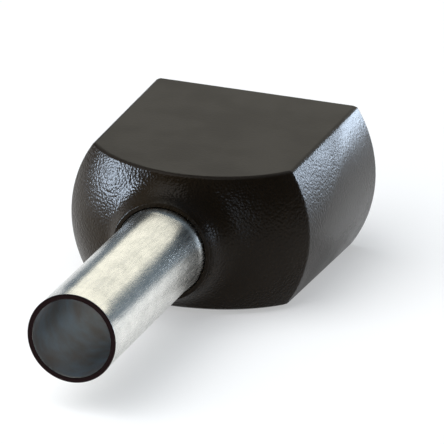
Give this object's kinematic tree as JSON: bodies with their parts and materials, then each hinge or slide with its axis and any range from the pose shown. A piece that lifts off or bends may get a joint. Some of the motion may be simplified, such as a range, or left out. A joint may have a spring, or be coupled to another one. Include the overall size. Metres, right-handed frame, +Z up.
{
  "type": "insulated twin wire ferrule",
  "caption": "Insulated ferrule for two stranded wires: a thin tinned metal sleeve held in a black moulded collar with two flats and an open rear.",
  "frame": {"origin": "on the sleeve's axis, in the collar's front face, where the sleeve comes out", "axes": "+Y along the sleeve's axis towards the mouth for the wires, +Z up out of the upper flat, +X across the flats' width"},
  "size_m": [0.0076, 0.0163, 0.0044],
  "materials": {
    "collar_plastic": "satin",
    "tinned_copper": "satin"
  },
  "bodies": {
    "root": {"collar": "collar_plastic", "sleeve": "tinned_copper"}
  },
  "joints": []
}
